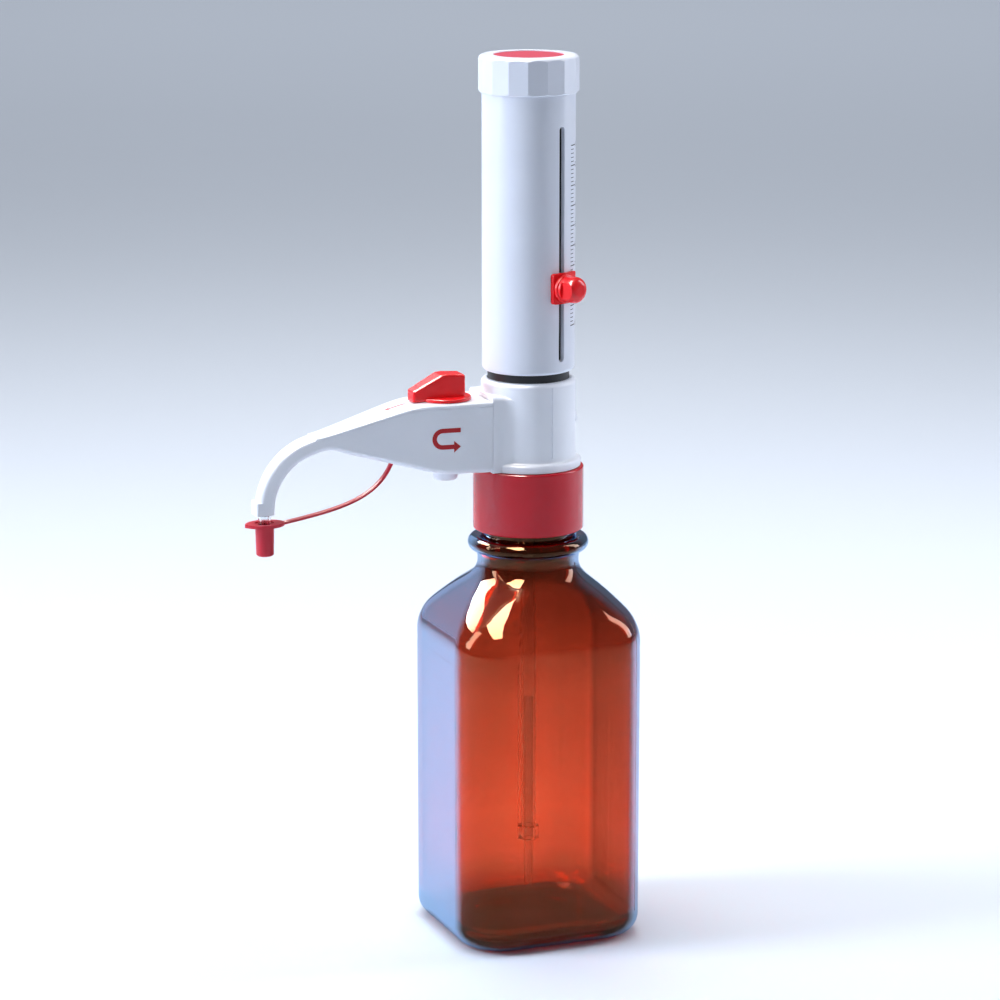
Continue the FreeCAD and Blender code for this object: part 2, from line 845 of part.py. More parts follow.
def arm_body():
    wires = []
    for place in arm_sections():
        top = place["top"] - cover_depth(place["x"]) + seat_gap
        centre = Vector(place["x"], 0, (top + place["floor"]) / 2)
        wires.append(section_wire(centre, UP, top - place["floor"], place["width"], broken_edge, arm_corner))
    near_width = 2 * softened(bend_start, arm_side_line())
    for step in range(1, bend_steps + 1):
        angle = 90 * step / bend_steps
        left = (1 - angle / 90) ** 2
        width = spout_width + (near_width - spout_width) * left
        wires.append(bend_wire(angle, cover_tip * left, width, arm_corner - cover_edge * left))
    bend = Part.makeLoft(wires, True, False)
    end_wire = bend_wire(90, 0, spout_width, arm_corner)
    tail = Part.Face(end_wire).extrude(Vector(0, 0, spout_end - bend_end))
    return bend.fuse(tail)


def arm_room():
    """Room inside the arm's walls, open at the block and along the top under the cover."""
    wires = []
    for place in arm_sections()[:-2]:
        floor = place["floor"] + arm_wall
        centre = Vector(place["x"], 0, (place["top"] + floor) / 2)
        wires.append(section_wire(centre, UP, place["top"] - floor, place["width"] - 2 * arm_wall,
                                  free_gap, arm_corner - arm_wall + broken_edge))
    return Part.makeLoft(wires, True, False)


def spout_lip():
    outer = spout_x - spout_depth / 2
    face = outer - spout_lip_reach
    top = spout_end + spout_lip_height
    half = spout_width / 2
    shape = block(face, outer + arm_corner, -half, half, spout_end, top)
    upright = [edge for edge in shape.Edges
               if abs(edge.BoundBox.XMax - face) < 1e-4 and edge.BoundBox.ZLength > through]
    shape = shape.makeFillet(spout_lip_edge, upright)
    reach = 2 * spout_lip_height
    slope = Part.makeBox(reach, 2 * spout_width, reach, Vector(0, -spout_width, 0))
    slope.rotate(Vector(0, 0, 0), Vector(0, 1, 0), -45)
    slope.translate(Vector(face - spout_lip_slope, 0, top - spout_lip_slope))
    return shape.cut(slope)


def feed_line(radius, x_from):
    """Round bar from a place in the arm to the lower end of the bend."""
    hub = Vector(bend_start, 0, bend_end)
    straight = cross_rod(radius, bend_start, x_from, tube_height)
    circle = Part.Circle(Vector(bend_start, 0, tube_height), Vector(1, 0, 0), radius).toShape()
    bend = Part.Face(Part.Wire([circle])).revolve(hub, Vector(0, -1, 0), 90)
    return straight.fuse(bend)


def strap_root_height():
    return along(strap_root_x, arm_floor_line()) + strap_sunk


def arm_housing():
    body = arm_body().fuse(spout_lip())
    strap_hole = strap_width / 2 + 2 * free_gap
    root = strap_root_height()
    holes = [
        cover_layer(),
        arm_room(),
        feed_line(feed_radius + feed_play, arm_sections()[-3]["x"] + through),
        rod(nozzle_radius + slip_fit, spout_end - through, bend_end, spout_x),
        rod(barrel_boss_radius + seat_gap, arm_floor - arm_wall, arm_floor + 2 * arm_wall, valve_x),
        rod(strap_hole, root - 2 * arm_wall, root + 2 * arm_wall, strap_root_x),
    ]
    return body.cut(holes)


def cover_layer():
    """The top cover, a little wider than the arm so that it is cut out of the housing cleanly."""
    wires = []
    for place in arm_sections():
        depth = cover_depth(place["x"])
        centre = Vector(place["x"], 0, place["top"] - depth / 2)
        width = place["width"] + 2 * cover_overhang
        wires.append(section_wire(centre, UP, depth, width, cover_edge, cover_inner_edge))
    before, last = arm_sections()[-2:]
    run = before["x"] - last["x"]
    fall = (before["top"] - last["top"]) / run * cover_droop
    narrowing = (before["width"] - last["width"]) / run
    top = last["top"] - fall * cover_past_bend
    width = last["width"] + 2 * cover_overhang - narrowing * cover_past_bend
    centre = Vector(bend_start - cover_past_bend, 0, top - cover_tip / 2)
    wires.append(section_wire(centre, UP, cover_tip, width, cover_droop, cover_inner_edge))
    return Part.makeLoft(wires, True, False)


def arm_top_cover():
    hole = rod(spindle_radius + free_gap, arm_ridge - 2 * cover_thickness, arm_ridge + through, valve_x)
    return cover_layer().cut(hole)


def feed_link():
    low = valve_x + barrel_radius - barrel_socket
    high = discharge_x - discharge_body_radius + discharge_socket
    return cross_tube(feed_radius, feed_bore, low, high, tube_height)


def return_link():
    low = valve_x + barrel_radius - barrel_socket
    return cross_tube(return_link_radius, return_link_bore, low, boss_end + link_socket, return_link_height)


def discharge_tube():
    start = valve_x - barrel_radius + barrel_socket
    return feed_line(feed_radius, start).cut(feed_line(feed_bore, start))


def outlet_nozzle():
    body = turned([(nozzle_bore, nozzle_tip), (nozzle_radius - broken_edge, nozzle_tip),
                   (nozzle_radius, nozzle_tip + nozzle_taper), (nozzle_radius, bend_end),
                   (feed_bore, bend_end), (feed_bore, spout_end), (nozzle_bore, spout_end - through)])
    return moved(body, spout_x)


# Recirculation valve


def recirculation_valve_barrel():
    step = softened(valve_x - barrel_radius, arm_floor_line()) + arm_wall + seat_gap
    boss_bottom = arm_floor - barrel_boss_depth
    high = arm_ridge - cover_depth(valve_x) - seat_gap
    body = rod(barrel_radius, step, high).fuse(rod(barrel_boss_radius, boss_bottom, step))
    body = rounded(body, barrel_boss_edge, boss_bottom, barrel_boss_radius)
    reach = barrel_radius + through
    socket = barrel_radius - barrel_socket
    ways = [
        rod(spindle_radius + slip_fit, return_link_height - return_link_radius, high + through),
        cross_rod(small_passage, -reach, reach, tube_height),
        cross_rod(feed_radius + slip_fit, socket, reach, tube_height),
        cross_rod(feed_radius + slip_fit, -reach, -socket, tube_height),
        cross_rod(small_passage, 0, reach, return_link_height),
        cross_rod(return_link_radius + slip_fit, socket, reach, return_link_height),
    ]
    return moved(body.cut(ways), valve_x)


def ring_heights():
    return [return_link_height + low_ring_rise, tube_height + high_ring_rise]


def valve_spindle():
    low = return_link_height - return_link_radius + slip_fit
    body = rod(spindle_radius, low, arm_ridge + lever_gap)
    grooves = [tube(spindle_radius + through, spindle_radius - ring_depth, z, z + ring_width)
               for z in ring_heights()]
    ways = grooves + [
        cross_rod(small_passage, -spindle_radius - through, spindle_radius + through, tube_height),
        rod(small_passage, return_link_height, tube_height),
        cross_rod(small_passage, 0, spindle_radius + through, return_link_height),
    ]
    return moved(body.cut(ways), valve_x)


def spindle_seals():
    rings = [tube(spindle_radius + slip_fit / 2, spindle_radius - ring_depth, z, z + ring_width)
             for z in ring_heights()]
    return moved(Part.makeCompound(rings), valve_x)


def valve_lever():
    low = arm_ridge + lever_gap
    base = low + lever_flange_height
    top = low + lever_height
    plate = rod(lever_flange_radius, low, base)
    plate = rounded(plate, broken_edge, base, lever_flange_radius)
    side = [(-lever_tip_reach, low), (-lever_tip_reach, low + lever_tip_height),
            (-lever_knee_reach, top - lever_knee_fall), (lever_knee_width - lever_knee_reach, top),
            (lever_back_reach, top - lever_back_fall), (lever_back_reach, low)]
    outline = Part.makePolygon([Vector(x, -2 * lever_half_width, z) for x, z in side + side[:1]])
    wedge = Part.Face(outline).extrude(Vector(0, 4 * lever_half_width, 0))
    plan = [(-lever_tip_reach, lever_tip_half_width), (-lever_knee_reach, lever_half_width),
            (lever_back_reach, lever_half_width)]
    rim = plan + [(x, -y) for x, y in reversed(plan)]
    top_view = Part.makePolygon([Vector(x, y, low) for x, y in rim + rim[:1]])
    post = Part.Face(top_view).extrude(Vector(0, 0, lever_height + through))
    grip = wedge.common(post)
    sharp = [edge for edge in grip.Edges if edge.BoundBox.ZMax > low + seat_gap]
    grip = grip.makeFillet(lever_round, sharp)
    return moved(plate.fuse(grip).removeSplitter(), valve_x)


# Nozzle cap and strap


def leaf_plate():
    """Flange of the nozzle cap: pointed away from the bottle and drawn out into the strap."""
    low = cap_flange_top - flange_plate
    half = strap_width / 2
    tip = Vector(-leaf_tip_reach, 0, low)
    neck = [Vector(leaf_strap_reach, side * half, low) for side in (1, -1)]
    sides = [Part.Arc(tip, Vector(0, leaf_half_width, low), neck[0]), Part.LineSegment(neck[0], neck[1]),
             Part.Arc(neck[1], Vector(0, -leaf_half_width, low), tip)]
    plate = Part.Face(Part.Wire([side.toShape() for side in sides])).extrude(Vector(0, 0, flange_plate))
    point = [edge for edge in plate.Edges
             if edge.BoundBox.XLength < 1e-4 and abs(edge.BoundBox.XMin + leaf_tip_reach) < 1e-3]
    return plate.makeFillet(leaf_tip_round, point)


def nozzle_cap():
    low = cap_flange_top - flange_plate
    foot = cap_body_radius - cap_body_taper
    body = turned([(0, cap_body_bottom), (foot - cap_body_edge, cap_body_bottom),
                   (foot, cap_body_bottom + cap_body_edge), (cap_body_radius, low), (0, low)])
    dish = rod(cap_body_radius, cap_flange_top - cap_dish, cap_flange_top + through)
    bore = rod(nozzle_radius + 2 * slip_fit, nozzle_tip - free_gap, cap_flange_top)
    return moved(leaf_plate().fuse(body).cut([dish, bore]).removeSplitter(), spout_x)


def strap_line(share):
    """Point on the strap's middle line, and the direction along it, at a share of the way to the cap."""
    start = Vector(strap_root_x, 0, strap_root_height())
    end = Vector(spout_x + leaf_strap_reach - through, 0, cap_flange_top - flange_plate / 2)
    lean = math.radians(strap_start_tilt)
    rise = math.radians(strap_end_tilt)
    first = start + Vector(-math.sin(lean), 0, -math.cos(lean)) * strap_start_pull
    second = end + Vector(math.cos(rise), 0, math.sin(rise)) * strap_end_pull
    left = 1 - share
    point = (start * left ** 3 + first * (3 * left ** 2 * share) + second * (3 * left * share ** 2)
             + end * share ** 3)
    run = ((first - start) * left ** 2 + (second - first) * (2 * left * share) + (end - second) * share ** 2)
    return point, run.normalize()


def tether_strap():
    curves = []
    for offset in (strap_thickness / 2, -strap_thickness / 2):
        points = []
        for step in range(strap_steps + 1):
            point, run = strap_line(step / strap_steps)
            points.append(point + Vector(-run.z, 0, run.x) * offset)
        curve = Part.BSplineCurve()
        curve.interpolate(points)
        curves.append(curve)
    ends = [Part.LineSegment(curves[0].StartPoint, curves[1].StartPoint),
            Part.LineSegment(curves[0].EndPoint, curves[1].EndPoint)]
    outline = Part.Wire(Part.sortEdges([part.toShape() for part in curves + ends])[0])
    half = strap_width / 2
    band = Part.Face(outline).extrude(Vector(0, strap_width, 0))
    band.translate(Vector(0, -half, 0))
    cap_side = spout_x + leaf_strap_reach
    return band.cut(block(cap_side - 2 * leaf_strap_reach, cap_side, -half - through, half + through,
                          cap_body_bottom, cap_flange_top + leaf_strap_reach))


# Plunger


def sleeve():
    shell = rod(sleeve_radius, sleeve_bottom, sleeve_top)
    shell = rounded(shell, sleeve_edge, sleeve_bottom, sleeve_radius)
    shell = shell.cut(rod(sleeve_bore, sleeve_bottom - through, sleeve_top + through))
    half = slot_width / 2
    front = -sleeve_radius - through
    depth = sleeve_wall + 4 * through
    slot = block(-half, half, front, front + depth, slot_bottom + half, slot_top - half)
    ends = [Part.makeCylinder(half, depth, Vector(0, front, z), Vector(0, 1, 0))
            for z in (slot_bottom + half, slot_top - half)]
    return shell.cut(facing(slot.fuse(ends), slot_azimuth))


def top_cap():
    round_body = rod(cap_radius, cap_bottom, cap_top)
    round_body = rounded(round_body, cap_edge, cap_top, cap_radius)
    round_body = round_body.makeChamfer(cap_chamfer, rims(round_body, cap_bottom, cap_radius))
    step = 2 * math.pi / cap_facets
    points = [Vector(cap_radius * math.cos(i * step), cap_radius * math.sin(i * step), cap_bottom)
              for i in range(cap_facets)]
    prism = Part.Face(Part.makePolygon(points + points[:1])).extrude(Vector(0, 0, cap_height))
    body = round_body.common(prism)
    disc_seat = cap_top - disc_thickness - disc_sunk
    skirt = rod(sleeve_radius, cap_bottom - through, sleeve_top)
    room = rod(sleeve_bore, sleeve_top - through, disc_seat - cap_roof)
    recess = rod(disc_radius + slip_fit, disc_seat, cap_top + through)
    return body.cut([skirt, room, recess])


def cap_disc():
    low = cap_top - disc_thickness - disc_sunk
    disc = rod(disc_radius, low, low + disc_thickness)
    return rounded(disc, disc_sunk, low + disc_thickness, disc_radius)


def piston_mount():
    high = mount_bottom + mount_thickness
    body = rod(sleeve_bore - slip_fit, mount_bottom, high)
    holes = [rod(rod_radius, mount_bottom - through, high + through)]
    for index in range(mount_holes):
        angle = 2 * math.pi * index / mount_holes
        holes.append(rod(mount_hole_radius, mount_bottom - through, high + through,
                         mount_hole_circle * math.cos(angle), mount_hole_circle * math.sin(angle)))
    return body.cut(holes)


def piston_rod():
    return rod(rod_radius, piston_bottom + piston_length, mount_bottom + mount_thickness + nut_height)


def calibration_nut():
    low = mount_bottom + mount_thickness
    high = low + nut_height
    return hexagon(nut_across, low, high).cut(rod(rod_radius, low - through, high + through))


def seal_heights():
    return [piston_bottom + seal_inset, piston_bottom + piston_length - seal_inset - seal_width]


def piston_head():
    radius = bore_radius - slip_fit
    body = rod(radius, piston_bottom, piston_bottom + piston_length)
    grooves = [tube(radius + through, radius - seal_depth, z, z + seal_width) for z in seal_heights()]
    body = body.cut(grooves)
    return body.makeChamfer(piston_edge, rims(body, piston_bottom, radius))


def piston_seals():
    radius = bore_radius - slip_fit / 2
    inner = bore_radius - slip_fit - seal_depth
    return Part.makeCompound([tube(radius, inner, z, z + seal_width) for z in seal_heights()])


# Volume pointer


def radial_rod(radius, inner, outer):
    return Part.makeCylinder(radius, outer - inner, around(slot_azimuth, inner, pointer_height),
                             around(slot_azimuth, 1, 0))


def pointer_plate():
    inner = sleeve_radius + pointer_play
    outer = inner + pointer_thickness
    low = pointer_height - pointer_length / 2
    high = pointer_height + pointer_length / 2
    ring = tube(outer, inner, low, high)
    window = block(-pointer_width / 2, pointer_width / 2, -outer - through, 0, low, high)
    deep = [edge for edge in window.Edges if edge.BoundBox.YLength > outer]
    window = facing(window.makeFillet(pointer_corner, deep), pointer_azimuth)
    hole = radial_rod(screw_radius + slip_fit, sleeve_bore, outer + through)
    return ring.common(window).cut(hole)


def pointer_nut():
    outer = sleeve_bore - free_gap
    half = slide_nut_width / 2
    body = block(-half, half, -outer, -channel_radius - free_gap,
                 pointer_height - slide_nut_length / 2, pointer_height + slide_nut_length / 2)
    body = body.common(rod(outer, pointer_height - slide_nut_length, pointer_height + slide_nut_length))
    hole = radial_rod(screw_radius + slip_fit, channel_radius - through, outer + through)
    return facing(body, slot_azimuth).cut(hole)


def thumb_screw():
    base = sleeve_radius + pointer_play + pointer_thickness + seat_gap
    foot = rod(knob_foot_radius, 0, knob_foot_height)
    foot = rounded(foot, broken_edge, knob_foot_height, knob_foot_radius)
    grip = rod(knob_radius, 0, knob_length)
    grip = rounded(grip, knob_round, knob_length, knob_radius)
    side = knob_radius - knob_flat_depth
    wide = 2 * knob_radius
    flats = [block(side, wide, -wide, wide, knob_flat_start, 2 * knob_length),
             block(-wide, -side, -wide, wide, knob_flat_start, 2 * knob_length)]
    shank = rod(screw_radius, channel_radius + free_gap - base, 0)
    knob = foot.fuse(grip).cut(flats).fuse(shank).removeSplitter()
    knob.rotate(Vector(0, 0, 0), Vector(1, 0, 0), 90)
    knob.translate(Vector(0, -base, pointer_height))
    return facing(knob, slot_azimuth)


PIECES = [
    glass_bottle, neck_seal, threaded_collar,
    valve_block_core, valve_block_housing, vent_plug,
    filling_valve_body, intake_ball, suction_tube_outer, suction_tube_inner, recirculation_tube,
    cylinder_gasket, glass_cylinder, cylinder_guide, cylinder_jacket,
    discharge_valve_body, discharge_ball, feed_link, return_link,
    arm_housing, arm_top_cover, discharge_tube, outlet_nozzle,
    recirculation_valve_barrel, valve_spindle, spindle_seals, valve_lever,
    nozzle_cap, tether_strap,
    sleeve, top_cap, cap_disc, piston_mount, piston_rod, calibration_nut, piston_head, piston_seals,
    pointer_plate, pointer_nut, thumb_screw,
]

os.makedirs("parts", exist_ok=True)
for piece in PIECES:
    shape = piece()
    shape.exportStep("parts/" + piece.__name__ + ".step")
    print(piece.__name__, "solids", len(shape.Solids), "valid", shape.isValid())
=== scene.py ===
import bmesh
import bpy
import math
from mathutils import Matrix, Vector
from mathutils.bvhtree import BVHTree
from mathutils.geometry import interpolate_bezier


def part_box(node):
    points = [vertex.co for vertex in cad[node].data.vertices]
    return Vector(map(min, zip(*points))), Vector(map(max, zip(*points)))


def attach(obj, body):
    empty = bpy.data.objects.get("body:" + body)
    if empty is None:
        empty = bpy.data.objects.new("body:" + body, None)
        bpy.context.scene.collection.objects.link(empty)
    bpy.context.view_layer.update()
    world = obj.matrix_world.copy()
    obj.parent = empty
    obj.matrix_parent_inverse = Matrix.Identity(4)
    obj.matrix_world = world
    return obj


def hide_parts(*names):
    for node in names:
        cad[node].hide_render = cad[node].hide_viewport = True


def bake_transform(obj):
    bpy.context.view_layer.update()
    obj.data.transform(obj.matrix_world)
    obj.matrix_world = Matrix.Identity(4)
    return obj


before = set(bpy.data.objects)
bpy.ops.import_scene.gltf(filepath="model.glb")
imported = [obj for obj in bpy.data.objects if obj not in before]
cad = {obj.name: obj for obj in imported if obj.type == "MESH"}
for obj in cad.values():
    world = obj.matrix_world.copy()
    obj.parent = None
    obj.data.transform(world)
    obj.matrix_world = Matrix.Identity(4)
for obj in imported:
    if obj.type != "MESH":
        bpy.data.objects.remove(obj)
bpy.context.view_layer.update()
MM = 0.001


# Camera
# The photograph looks at the front from a little to the left and from above. The view here is
# from the same side with a lens tilted down at the object, so it needs no shift.
view_azimuth = math.radians(21.9)
view_right = Vector((math.cos(view_azimuth), -math.sin(view_azimuth), 0))
view_away = Vector((math.sin(view_azimuth), math.cos(view_azimuth), 0))
camera_distance = 1700 * MM
camera_height = 587.5 * MM
aim_right = -13.0 * MM
aim_height = 204.4 * MM
aim = view_right * aim_right + Vector((0, 0, aim_height))

camera_data = bpy.data.cameras.new("camera")
camera_data.lens = 135.5
camera_data.sensor_width = 36.0
camera = bpy.data.objects.new("camera", camera_data)
bpy.context.scene.collection.objects.link(camera)
camera.location = view_away * -camera_distance + Vector((0, 0, camera_height))
camera.rotation_euler = (aim - camera.location).to_track_quat("-Z", "Y").to_euler()
bpy.context.scene.camera = camera
# Whites and reds come out as bright as in the photograph, with no film curve over them.
bpy.context.scene.view_settings.view_transform = "Standard"


# Studio floor
# A wide sheet of pale matt paper under the bottle, which is the whole background, since the
# camera looks down on it. It has no gloss, and its grain is drawn coarser than real to show.
floor_half = 12.0
floor_drop = 0.2 * MM
paper_grain = 3 * MM
paper_relief = 0.1 * MM


def linear(hex_colour):
    """An sRGB hex colour as linear RGBA."""
    channels = [int(hex_colour[i:i + 2], 16) / 255 for i in (1, 3, 5)]
    return [c / 12.92 if c <= 0.04045 else ((c + 0.055) / 1.055) ** 2.4 for c in channels] + [1.0]


def new_material(name):
    """An empty material with its output node."""
    material = bpy.data.materials.new(name)
    material.use_nodes = True
    material.node_tree.nodes.clear()
    material.node_tree.nodes.new("ShaderNodeOutputMaterial")
    return material


def add_node(material, kind, sockets=None, **settings):
    """Adds a node. A socket's entry is its value, or another node's output that it is linked to."""
    node = material.node_tree.nodes.new(kind)
    for setting, value in settings.items():
        setattr(node, setting, value)
    for socket, value in (sockets or {}).items():
        if isinstance(value, bpy.types.NodeSocket):
            material.node_tree.links.new(value, node.inputs[socket])
        else:
            node.inputs[socket].default_value = value
    return node


def finish_with(material, shader, volume=None):
    """Links the finished shader, and the volume if there is one, to the material's output."""
    output = material.node_tree.nodes["Material Output"]
    material.node_tree.links.new(shader.outputs[0], output.inputs["Surface"])
    if volume:
        material.node_tree.links.new(volume.outputs[0], output.inputs["Volume"])
    return material


def matt_paper():
    """Uncoated paper: matt all over, with a soft grain of fibres."""
    paper = new_material("matt_paper")
    place = add_node(paper, "ShaderNodeTexCoord")
    fibre = add_node(paper, "ShaderNodeTexNoise", {
        "Vector": place.outputs["Object"], "Scale": 1 / paper_grain, "Detail": 3.0})
    grain = add_node(paper, "ShaderNodeBump", {
        "Height": fibre.outputs["Fac"], "Strength": 0.15, "Distance": paper_relief})
    shader = add_node(paper, "ShaderNodeBsdfPrincipled", {
        "Base Color": linear("#D6DCE5"), "Roughness": 0.95, "IOR": 1.5, "Specular IOR Level": 0.0,
        "Normal": grain.outputs["Normal"]})
    return finish_with(paper, shader)


def new_object(name, mesh, material):
    """Puts a mesh with its material in the scene."""
    mesh.materials.append(material)
    made = bpy.data.objects.new(name, mesh)
    bpy.context.scene.collection.objects.link(made)
    return made


floor_corners = [(x * floor_half, y * floor_half, -floor_drop)
                 for x, y in ((-1, -1), (1, -1), (1, 1), (-1, 1))]
floor_mesh = bpy.data.meshes.new("floor")
floor_mesh.from_pydata(floor_corners, [], [(0, 1, 2, 3)])
new_object("floor", floor_mesh, matt_paper())


# Studio light
# Softboxes above and at both sides, as the white edges in the photograph show, and one over the
# far floor. Two level panes overhead and a card behind to the left show only in reflections: the
# window-like mark on the bottle's shoulder and its pale left edge.
def softbox(name, right, away, height, width, tall, watts, hex_colour, aim_up=0.25):
    """A lamp placed in metres to the view's right, away from it and up, aimed at a height."""
    light = bpy.data.lights.new(name, "AREA")
    light.shape = "RECTANGLE"
    light.size = width
    light.size_y = tall
    light.energy = watts
    light.color = linear(hex_colour)[:3]
    lamp = bpy.data.objects.new(name, light)
    bpy.context.scene.collection.objects.link(lamp)
    lamp.location = view_right * right + view_away * away + Vector((0, 0, height))
    lamp.rotation_euler = (Vector((0, 0, aim_up)) - lamp.location).to_track_quat("-Z", "Y").to_euler()
    return lamp


softbox("left_softbox", right=-1.1, away=-0.2, height=0.8,
        width=0.35, tall=1.0, watts=17.0, hex_colour="#E6EFFF")
softbox("right_softbox", right=1.1, away=0.35, height=0.75,
        width=0.3, tall=1.0, watts=8.5, hex_colour="#EEF3FF")
overhead = softbox("overhead_softbox", right=-0.2, away=0.35, height=1.7,
                   width=1.5, tall=1.5, watts=29.0, hex_colour="#FFFFFF")
floor_wash = softbox("floor_wash", right=0.0, away=4.6, height=3.0,
                     width=5.0, tall=4.0, watts=75.0, hex_colour="#F4F8FF", aim_up=-40.0)
left_pane = softbox("window_left_pane", right=-1.45, away=1.0, height=1.7,
                    width=1.0, tall=1.9, watts=180.0, hex_colour="#FFF8F0")
right_pane = softbox("window_right_pane", right=-0.42, away=-0.35, height=1.7,
                     width=0.6, tall=2.0, watts=180.0, hex_colour="#FFF8F0")
left_card = softbox("left_card", right=-2.5, away=2.9, height=1.0,
                    width=3.6, tall=2.4, watts=20.0, hex_colour="#D5E6FF")
for lamp in (overhead, floor_wash):
    lamp.visible_glossy = False
for pane in (left_pane, right_pane):
    pane.rotation_euler = (0, 0, -view_azimuth)
for panel in (left_pane, right_pane, left_card):
    panel.visible_diffuse = False

world = bpy.data.worlds.new("pale_room")
bpy.context.scene.world = world
world.use_nodes = True
world.node_tree.nodes["Background"].inputs["Color"].default_value = linear("#E6EDF7")
world.node_tree.nodes["Background"].inputs["Strength"].default_value = 0.235


# Bottle
# A square reagent bottle blown from amber soda-lime glass, with a round neck. Iron and carbon in
# the glass take out blue and green, so thick places look dark; the bead looks nearly black also from
# painted shade on the neck. The blown walls wave a little, which bends what is seen through them and
# mirrored in them.
ripple_length = 28 * MM
ripple_depth = 0.6 * MM
# Painted shade: the glass's colour is darker by height at the heel, the shoulder and the neck, and
# by distance from the bottle's axis in its four upright corners.
painted_shade_tones = [
    (0, "#7C7672"), (22 * MM, "#E2DCDA"), (42 * MM, "#FBF6F2"), (75 * MM, "#EAE4E0"),
    (124 * MM, "#D8D0CC"), (138 * MM, "#C4BDB9"), (168 * MM, "#A8A19D"), (178 * MM, "#6E6662"),
    (215 * MM, "#4A4440")]
corner_start = 49 * MM
corner_end = 57 * MM
corner_painted_shade = 0.6
# Red, green and blue that the glass lets through, linear.
amber_passes = (0.985, 0.32, 0.0, 1.0)


def dress(node, material):
    """Gives a CAD node its material."""
    solid = cad[node]
    solid.data.materials.clear()
    solid.data.materials.append(material)


def height_tint(material, stops):
    """A colour that changes with height, from a list of heights and sRGB hex colours."""
    place = add_node(material, "ShaderNodeTexCoord")
    axes = add_node(material, "ShaderNodeSeparateXYZ", {"Vector": place.outputs["Object"]})
    low = stops[0][0]
    high = stops[-1][0]
    share = add_node(material, "ShaderNodeMapRange", {
        "Value": axes.outputs["Z"], "From Min": low, "From Max": high})
    ramp = add_node(material, "ShaderNodeValToRGB", {"Fac": share.outputs[0]})
    elements = ramp.color_ramp.elements
    ready = len(elements)
    for index, (height, hex_colour) in enumerate(stops):
        where = (height - low) / (high - low)
        stop = elements[index] if index < ready else elements.new(where)
        stop.position = where
        stop.color = linear(hex_colour)
    return ramp.outputs["Color"]


def amber_glass():
    """Blown glass, tinted through its thickness, with painted shade on its skin by height and in its
    upright corners. Its skin mirrors the lamps in a warm tint, and seen at a slant it mirrors the
    pale room in a cool one."""
    glass = new_material("amber_soda_lime_glass")
    place = add_node(glass, "ShaderNodeTexCoord")
    waves = add_node(glass, "ShaderNodeTexNoise", {
        "Vector": place.outputs["Object"], "Scale": 1 / ripple_length, "Detail": 1.0})
    blown = add_node(glass, "ShaderNodeBump", {
        "Height": waves.outputs["Fac"], "Strength": 0.35, "Distance": ripple_depth})
    # Painted shade: the colour darkens by height at the heel, the shoulder and the neck.
    painted_shade_by_height = height_tint(glass, painted_shade_tones)
    # Painted shade in the four upright corners, darker with distance from the bottle's axis.
    flat_place = add_node(glass, "ShaderNodeMapping", {
        "Vector": place.outputs["Object"], "Scale": (1.0, 1.0, 0.0)})
    from_axis = add_node(glass, "ShaderNodeVectorMath", {0: flat_place.outputs["Vector"]},
                         operation="LENGTH")
    corner = add_node(glass, "ShaderNodeMapRange", {
        "Value": from_axis.outputs["Value"], "From Min": corner_start, "From Max": corner_end,
        "To Min": 1.0, "To Max": corner_painted_shade})
    glass_with_painted_shade = add_node(glass, "ShaderNodeHueSaturation", {"Color": painted_shade_by_height, "Value": corner.outputs[0]})
    shader = add_node(glass, "ShaderNodeBsdfPrincipled", {
        "Base Color": glass_with_painted_shade.outputs[0], "Roughness": 0.015, "IOR": 1.52, "Transmission Weight": 1.0,
        "Specular Tint": linear("#FFC48E"), "Normal": blown.outputs["Normal"]})
    mirror = add_node(glass, "ShaderNodeBsdfGlossy", {
        "Color": linear("#9AC0E6"), "Roughness": 0.03, "Normal": blown.outputs["Normal"]})
    slant = add_node(glass, "ShaderNodeLayerWeight", {"Blend": 0.5})
    mirrored = add_node(glass, "ShaderNodeMapRange", {
        "Value": slant.outputs["Facing"], "From Min": 0.42, "From Max": 0.66, "To Min": 0.0, "To Max": 0.7})
    skin = add_node(glass, "ShaderNodeMixShader", {
        0: mirrored.outputs[0], 1: shader.outputs[0], 2: mirror.outputs[0]})
    tint = add_node(glass, "ShaderNodeVolumeAbsorption", {"Color": amber_passes, "Density": 640.0})
    return finish_with(glass, skin, tint)


amber = amber_glass()
dress("glass_bottle", amber)

# Screw thread of the bottle's finish, one ridge pressed with the glass. The collar hides it until
# the dispenser is lifted off.
thread_pitch = 4.0 * MM
thread_turns = 2.2
thread_run_out_turns = 1 / 8
thread_start = 197.0 * MM
thread_root = 21.1 * MM
thread_crest = 22.4 * MM
thread_root_width = 2.9 * MM
thread_crest_width = 1.1 * MM
thread_least_rise = 0.05
steps_per_turn = 72


def ring_faces(rings, size):
    """Quads between rings of points that follow each other, with both ends closed."""
    faces = []
    for ring in range(rings - 1):
        for i in range(size):
            j = (i + 1) % size
            faces.append((ring * size + i, ring * size + j, (ring + 1) * size + j, (ring + 1) * size + i))
    faces.append(tuple(reversed(range(size))))
    faces.append(tuple(range((rings - 1) * size, rings * size)))
    return faces


def piece(name, points, faces, material, body, smooth=True):
    """A mesh made in code with the given material, which rides on a body if one is named."""
    mesh = bpy.data.meshes.new(name)
    mesh.from_pydata([tuple(point) for point in points], [], faces)
    mesh.validate()
    loose_mesh = bmesh.new()
    loose_mesh.from_mesh(mesh)
    bmesh.ops.recalc_face_normals(loose_mesh, faces=loose_mesh.faces)
    loose_mesh.to_mesh(mesh)
    loose_mesh.free()
    for face in mesh.polygons:
        face.use_smooth = smooth
    made = new_object(name, mesh, material)
    if body:
        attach(made, body)
    return made


